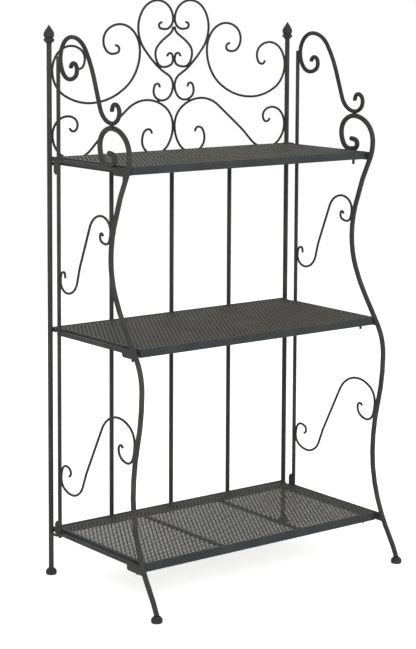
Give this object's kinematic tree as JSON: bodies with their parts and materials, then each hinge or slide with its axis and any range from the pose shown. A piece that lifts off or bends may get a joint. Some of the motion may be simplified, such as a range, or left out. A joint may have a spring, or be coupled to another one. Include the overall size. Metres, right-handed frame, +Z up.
{
  "type": "bakers rack",
  "caption": "Folding wire bakers rack with a scrolled heart crest, bowed front legs on hinged side frames and mesh shelves that tip up on end pivots.",
  "frame": {"origin": "on the floor, in the middle of the plan", "axes": "+Z up, +X to the viewer's right, the open front faces -Y and the back frame is at +Y"},
  "size_m": [0.5918, 0.3608, 1.0795],
  "materials": {
    "frame": "satin powder coat",
    "scrolls": "satin powder coat",
    "shelf_frame": "satin powder coat",
    "shelf_mesh": "satin powder coat",
    "fittings": "satin powder coat",
    "feet": "satin powder coat"
  },
  "bodies": {
    "back_frame": {"back_bar_centre": "frame", "back_bar_left": "frame", "back_bar_right": "frame", "bottom_back_rail": "frame", "crest_welds": "frame", "hinge_pintles": "fittings", "left_c_scroll": "scrolls", "left_heart_scroll": "scrolls", "left_inner_heart": "scrolls", "left_rear_post": "frame", "left_s_scroll": "scrolls", "middle_back_rail": "frame", "post_finials": "frame", "rear_feet": "feet", "right_c_scroll": "scrolls", "right_heart_scroll": "scrolls", "right_inner_heart": "scrolls", "right_rear_post": "frame", "right_s_scroll": "scrolls", "shelf_pivot_ears": "fittings", "top_back_rail": "frame"},
    "left_side_frame": {"left_bottom_side_rail": "frame", "left_catches": "fittings", "left_front_foot": "feet", "left_front_leg": "frame", "left_hinge_sleeves": "fittings", "left_lower_bay_scroll": "scrolls", "left_middle_side_rail": "frame", "left_top_scroll": "scrolls", "left_top_side_rail": "frame", "left_upper_bay_scroll": "scrolls", "left_upright": "frame", "left_welds": "frame"},
    "right_side_frame": {"right_bottom_side_rail": "frame", "right_catches": "fittings", "right_front_foot": "feet", "right_front_leg": "frame", "right_hinge_sleeves": "fittings", "right_lower_bay_scroll": "scrolls", "right_middle_side_rail": "frame", "right_top_scroll": "scrolls", "right_top_side_rail": "frame", "right_upper_bay_scroll": "scrolls", "right_upright": "frame", "right_welds": "frame"},
    "top_shelf": {"top_shelf_cross_bars": "shelf_frame", "top_shelf_mesh": "shelf_mesh", "top_shelf_pegs": "fittings", "top_shelf_pivot_pins": "fittings", "top_shelf_rim": "shelf_frame"},
    "middle_shelf": {"middle_shelf_cross_bars": "shelf_frame", "middle_shelf_mesh": "shelf_mesh", "middle_shelf_pegs": "fittings", "middle_shelf_pivot_pins": "fittings", "middle_shelf_rim": "shelf_frame"},
    "bottom_shelf": {"bottom_shelf_cross_bars": "shelf_frame", "bottom_shelf_mesh": "shelf_mesh", "bottom_shelf_pegs": "fittings", "bottom_shelf_pivot_pins": "fittings", "bottom_shelf_rim": "shelf_frame"}
  },
  "joints": [
    {"name": "top_shelf_tip_up", "type": "hinge", "parent": "back_frame", "child": "top_shelf", "pos_m": [0, 0.16005, 0.787], "axis": [-1, 0, 0], "range_deg": [0, 90]},
    {"name": "middle_shelf_tip_up", "type": "hinge", "parent": "back_frame", "child": "middle_shelf", "pos_m": [0, 0.16005, 0.468], "axis": [-1, 0, 0], "range_deg": [0, 90]},
    {"name": "bottom_shelf_tip_up", "type": "hinge", "parent": "back_frame", "child": "bottom_shelf", "pos_m": [0, 0.16005, 0.086], "axis": [-1, 0, 0], "range_deg": [0, 90]},
    {"name": "left_side_swing", "type": "hinge", "parent": "back_frame", "child": "left_side_frame", "pos_m": [-0.2855, 0.1463, 0.43], "axis": [0, 0, -1], "range_deg": [0, 90]},
    {"name": "right_side_swing", "type": "hinge", "parent": "back_frame", "child": "right_side_frame", "pos_m": [0.2855, 0.1463, 0.43], "axis": [0, 0, 1], "range_deg": [0, 90]}
  ]
}
